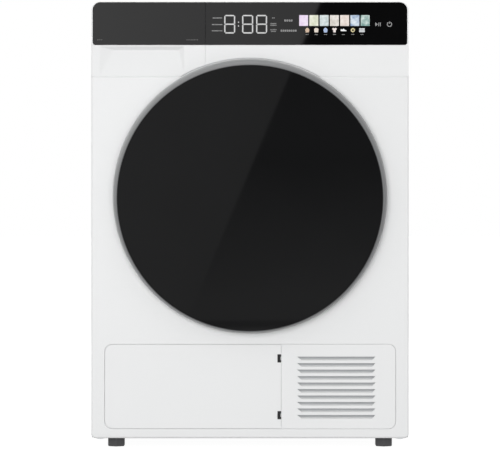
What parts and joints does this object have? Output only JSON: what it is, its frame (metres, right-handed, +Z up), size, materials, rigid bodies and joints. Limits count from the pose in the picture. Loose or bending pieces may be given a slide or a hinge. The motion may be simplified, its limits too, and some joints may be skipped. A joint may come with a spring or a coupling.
{
  "type": "clothes dryer",
  "caption": "Free-standing front-loading clothes dryer with a round glass door, a condensate drawer, a touch control panel and a plinth flap with an air grille.",
  "frame": {"origin": "centre of the body's box at the soles of the feet", "axes": "+Z up, -Y out of the door, +X to the right seen from the front"},
  "size_m": [0.596, 0.64, 0.838],
  "materials": {
    "white_enamel": "satin",
    "white_laminate": "white laminate on chipboard",
    "white_plastic": "satin",
    "black_glass": "gloss",
    "silver_plastic": "satin metallic lacquer",
    "grey_plastic": "moulded",
    "dark_plastic": "moulded",
    "rubber": "matte",
    "steel": "galvanised",
    "cast": "painted black",
    "aluminium": "mill",
    "copper": "bare copper tube",
    "felt": "pressed felt",
    "board": "solder mask"
  },
  "bodies": {
    "cabinet": {"base_pan": "grey_plastic", "side_panel_left": "white_enamel", "side_panel_right": "white_enamel", "rear_panel": "steel", "worktop": "white_laminate", "front_panel": "white_enamel", "control_fascia": "white_plastic", "control_glass": "black_glass", "display_board": "board", "control_module": "grey_plastic", "front_bulkhead": "grey_plastic", "rear_bulkhead": "steel", "rear_duct_cover": "grey_plastic", "drum_bearing": "steel", "drum_felt": "felt", "hinge_bracket": "steel", "door_lock": "grey_plastic", "motor_stator": "steel", "idler_arm": "steel", "tension_spring": "steel", "drive_belt": "rubber", "fan_housing": "grey_plastic", "compressor": "cast", "evaporator": "aluminium", "condenser": "aluminium", "refrigerant_pipe": "copper", "condensate_pump": "grey_plastic", "tank_housing": "grey_plastic", "exchanger_cover": "grey_plastic", "service_grille": "white_plastic", "mains_inlet": "grey_plastic"},
    "door": {"door_frame": "silver_plastic", "door_glass": "black_glass", "door_bowl": "grey_plastic", "door_seal": "rubber", "door_hook": "steel", "hinge_pin": "steel"},
    "drum": {"drum": "steel", "drum_lifter_1": "grey_plastic", "drum_lifter_2": "grey_plastic", "drum_lifter_3": "grey_plastic", "drum_shaft": "steel"},
    "motor_rotor": {"motor_shaft": "steel", "fan_impeller": "grey_plastic"},
    "idler": {"idler_pulley": "dark_plastic"},
    "roller_left": {"support_roller_left": "rubber"},
    "roller_right": {"support_roller_right": "rubber"},
    "drawer": {"drawer_front": "white_plastic", "drawer_trim": "black_glass", "tank_body": "grey_plastic", "tank_lid": "grey_plastic"},
    "flap": {"service_flap": "white_plastic"},
    "latch_upper": {"flap_latch_upper": "dark_plastic"},
    "latch_lower": {"flap_latch_lower": "dark_plastic"},
    "filter": {"lint_filter": "grey_plastic"},
    "foot_front_left": {"foot_front_left": "dark_plastic"},
    "foot_front_right": {"foot_front_right": "dark_plastic"},
    "foot_rear_left": {"foot_rear_left": "dark_plastic"},
    "foot_rear_right": {"foot_rear_right": "dark_plastic"}
  },
  "joints": [
    {"name": "door_hinge", "type": "hinge", "parent": "cabinet", "child": "door", "pos_m": [0.241, -0.3075, 0.47], "axis": [0, 0, 1], "range_deg": [0, 115]},
    {"name": "drum_spin", "type": "hinge", "parent": "cabinet", "child": "drum", "pos_m": [0, 0, 0.47], "axis": [0, 1, 0], "continuous": true},
    {"name": "motor_spin", "type": "hinge", "parent": "cabinet", "child": "motor_rotor", "pos_m": [0.16, 0, 0.11], "axis": [0, 1, 0], "continuous": true},
    {"name": "idler_spin", "type": "hinge", "parent": "cabinet", "child": "idler", "pos_m": [0.095, 0, 0.12], "axis": [0, 1, 0], "continuous": true},
    {"name": "roller_left_spin", "type": "hinge", "parent": "cabinet", "child": "roller_left", "pos_m": [-0.1739, 0, 0.2217], "axis": [0, 1, 0], "continuous": true},
    {"name": "roller_right_spin", "type": "hinge", "parent": "cabinet", "child": "roller_right", "pos_m": [0.1739, 0, 0.2217], "axis": [0, 1, 0], "continuous": true},
    {"name": "drawer_slide", "type": "slide", "parent": "cabinet", "child": "drawer", "axis": [0, -1, 0], "range_m": [0, 0.3]},
    {"name": "flap_hinge", "type": "hinge", "parent": "cabinet", "child": "flap", "pos_m": [-0.2713, -0.2788, 0.0365], "axis": [0, 0, -1], "range_deg": [0, 90]},
    {"name": "latch_upper_slide", "type": "slide", "parent": "flap", "child": "latch_upper", "axis": [-1, 0, 0], "range_m": [0, 0.0022], "stiffness_N_per_m": 300},
    {"name": "latch_lower_slide", "type": "slide", "parent": "flap", "child": "latch_lower", "axis": [-1, 0, 0], "range_m": [0, 0.0022], "stiffness_N_per_m": 300},
    {"name": "filter_lift", "type": "slide", "parent": "cabinet", "child": "filter", "axis": [0, 0, 1], "range_m": [0, 0.15]},
    {"name": "foot_front_left_screw", "type": "hinge", "parent": "cabinet", "child": "foot_front_left", "pos_m": [-0.253, -0.235, 0], "axis": [0, 0, 1], "continuous": true},
    {"name": "foot_front_right_screw", "type": "hinge", "parent": "cabinet", "child": "foot_front_right", "pos_m": [0.253, -0.235, 0], "axis": [0, 0, 1], "continuous": true},
    {"name": "foot_rear_left_screw", "type": "hinge", "parent": "cabinet", "child": "foot_rear_left", "pos_m": [-0.253, 0.25, 0], "axis": [0, 0, 1], "continuous": true},
    {"name": "foot_rear_right_screw", "type": "hinge", "parent": "cabinet", "child": "foot_rear_right", "pos_m": [0.253, 0.25, 0], "axis": [0, 0, 1], "continuous": true}
  ],
  "couplings": [
    {"joint": "motor_spin", "follows": "drum_spin", "ratio": 39.167},
    {"joint": "idler_spin", "follows": "drum_spin", "ratio": -18.8},
    {"joint": "roller_left_spin", "follows": "drum_spin", "ratio": -12.444},
    {"joint": "roller_right_spin", "follows": "drum_spin", "ratio": -12.444}
  ]
}
